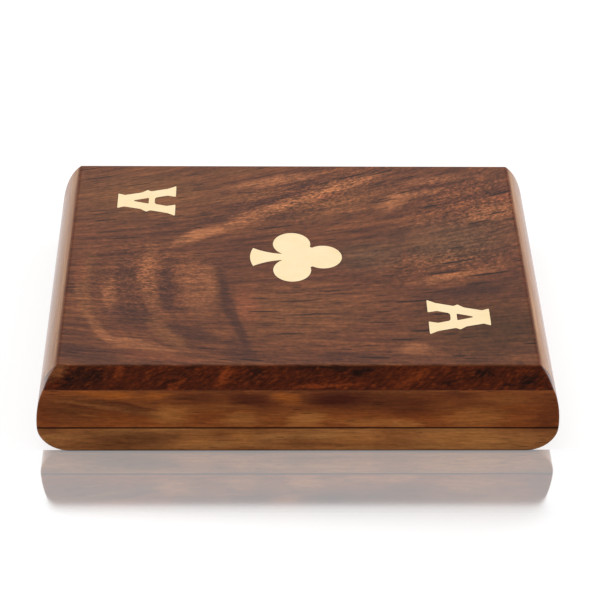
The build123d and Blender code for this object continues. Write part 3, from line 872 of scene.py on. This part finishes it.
def floor_board(tree, y):
    """Matt white under the gloss, which keeps the shadow of the box.

    What shines in the box sees the board white, apart from the stretch towards the camera, which a dark
    card covers.
    """
    path = add_node(tree, "ShaderNodeLightPath").outputs
    clear = {0: path["Is Camera Ray"], 1: path["Is Transmission Ray"]}
    seen = add_node(tree, "ShaderNodeMath", clear, operation="MAXIMUM").outputs[0]
    colours = {"Factor": seen, "A": linear(FLOOR_WHITE), "B": linear(FLOOR_SEEN_WHITE)}
    colour = add_node(tree, "ShaderNodeMix", colours, data_type="RGBA").outputs[2]
    matt = add_node(tree, "ShaderNodeBsdfDiffuse", {"Color": colour})
    level = add_node(tree, "ShaderNodeMath", {0: seen, 1: FLOOR_GLOW}, operation="MULTIPLY").outputs[0]
    glow = add_node(tree, "ShaderNodeEmission", {"Strength": level})
    board = add_node(tree, "ShaderNodeAddShader", {0: matt.outputs[0], 1: glow.outputs[0]})
    card = {"Value": y, "From Min": FRONT_MM, "From Max": FRONT_MM + WHITE_FLOOR_MM, "To Min": DARK_CARD}
    reflected = add_node(tree, "ShaderNodeMapRange", card).outputs["Result"]
    shine = add_node(tree, "ShaderNodeEmission", {"Strength": reflected})
    turns = {0: path["Is Glossy Ray"], 1: board.outputs[0], 2: shine.outputs[0]}
    return add_node(tree, "ShaderNodeMixShader", turns).outputs[0]


def floor_mirror(tree, x, y):
    """Gloss of the board, which mirrors the box just in front of it: returns its share and its shader."""
    fade = {
        "Value": y,
        "From Min": FRONT_MM - MIRROR_END_MM,
        "From Max": FRONT_MM - MIRROR_HOLD_MM,
        "To Max": FLOOR_MIRROR,
    }
    share = add_node(tree, "ShaderNodeMapRange", fade, interpolation_type="SMOOTHSTEP").outputs["Result"]
    foot = {0: y, 1: FRONT_MM + FOOT_EASE_MM}
    ahead = add_node(tree, "ShaderNodeMath", foot, operation="LESS_THAN").outputs[0]
    share = add_node(tree, "ShaderNodeMath", {0: share, 1: ahead}, operation="MULTIPLY").outputs[0]
    aside = add_node(tree, "ShaderNodeMath", {0: x}, operation="ABSOLUTE").outputs[0]
    ends = {"Value": aside, "From Min": HALF_WIDTH_MM + MIRROR_SIDE_MM, "From Max": HALF_WIDTH_MM}
    within = add_node(tree, "ShaderNodeMapRange", ends).outputs["Result"]
    share = add_node(tree, "ShaderNodeMath", {0: share, 1: within}, operation="MULTIPLY").outputs[0]
    dull = {
        "Value": y,
        "From Min": FRONT_MM - DULL_END_MM,
        "From Max": FRONT_MM - DULL_START_MM,
        "To Min": DULL_ROUGHNESS,
        "To Max": MIRROR_ROUGHNESS,
    }
    blur = add_node(tree, "ShaderNodeMapRange", dull).outputs["Result"]
    mirror = add_node(tree, "ShaderNodeBsdfAnisotropic", {"Color": (1, 1, 1, 1), "Roughness": blur})
    return share, mirror.outputs[0]


def gloss_floor():
    """White gloss board: it keeps a soft shadow, and mirrors the box faintly just in front of it."""
    material = bpy.data.materials.new("white_gloss_board")
    material.use_nodes = True
    tree = material.node_tree
    tree.nodes.clear()
    x, y, _ = add_node(tree, "ShaderNodeSeparateXYZ", {"Vector": place_in_mm(tree)}).outputs
    board = floor_board(tree, y)
    share, mirror = floor_mirror(tree, x, y)
    surface = add_node(tree, "ShaderNodeMixShader", {0: share, 1: board, 2: mirror})
    add_node(tree, "ShaderNodeOutputMaterial", {"Surface": surface.outputs[0]})
    mesh = bpy.data.meshes.new("floor")
    corners = [(-FLOOR_HALF, -FLOOR_HALF, 0), (FLOOR_HALF, -FLOOR_HALF, 0)]
    corners += [(FLOOR_HALF, FLOOR_HALF, 0), (-FLOOR_HALF, FLOOR_HALF, 0)]
    mesh.from_pydata(corners, [], [(0, 1, 2, 3)])
    mesh.materials.append(material)
    floor = bpy.data.objects.new("floor", mesh)
    bpy.context.scene.collection.objects.link(floor)


def set_camera():
    """Camera that looks along +Y, tilted down, turned and rolled as the photograph was taken."""
    data = bpy.data.cameras.new("camera")
    data.sensor_width = SENSOR_MM
    data.lens = SENSOR_MM * FOCAL_PIXELS / IMAGE_WIDTH
    camera = bpy.data.objects.new("camera", data)
    bpy.context.scene.collection.objects.link(camera)
    yaw = Matrix.Rotation(CAMERA_YAW, 4, "Z")
    tilt = Matrix.Rotation(math.pi / 2 - CAMERA_TILT, 4, "X")
    roll = Matrix.Rotation(CAMERA_ROLL, 4, "Z")
    camera.matrix_world = Matrix.Translation(CAMERA_PLACE) @ yaw @ tilt @ roll
    bpy.context.scene.camera = camera


MATERIALS = {
    "sheesham_top": sheesham_top(),
    "sheesham_rail": sheesham_rail("waxed_sheesham_rail", ALONG, FRONT_STREAKS, COAT_WEIGHT),
    "bottom_board": bottom_board(),
    "brass_inlay": brass_inlay(),
    "brass_hinge": worn_brass("rolled_brass_hinge", grit=1.2, bright="#dcb96e", dull="#bd9450"),
    "brass_screw": worn_brass("turned_brass_screw", grit=0.5, bright="#cfa95e", dull="#a07a3e"),
    "wool_felt": wool_felt(),
}
cross_grained = sheesham_rail("waxed_sheesham_end", ACROSS, (), END_COAT_WEIGHT)

for subpart in frame["record"]["subparts"]:
    node = frame["nodes"][subpart["node"]]
    lies_across = subpart["node"].endswith("_end") or subpart["node"] == "card_divider"
    node.data.materials.clear()
    node.data.materials.append(cross_grained if lies_across else MATERIALS[subpart["material_slot"]])

for well in ("left_well_felt", "right_well_felt"):
    felt_lining(well, MATERIALS["wool_felt"])

white_room()
softbox("softbox", SOFTBOX_SIZE, SOFTBOX_PLACE, SOFTBOX_POWER, mirrored=True)
for name, place, power in END_LAMPS:
    softbox(name, END_LAMP_SIZE, place, power, mirrored=False)
gloss_floor()
set_camera()
bpy.context.scene.view_settings.view_transform = "Standard"
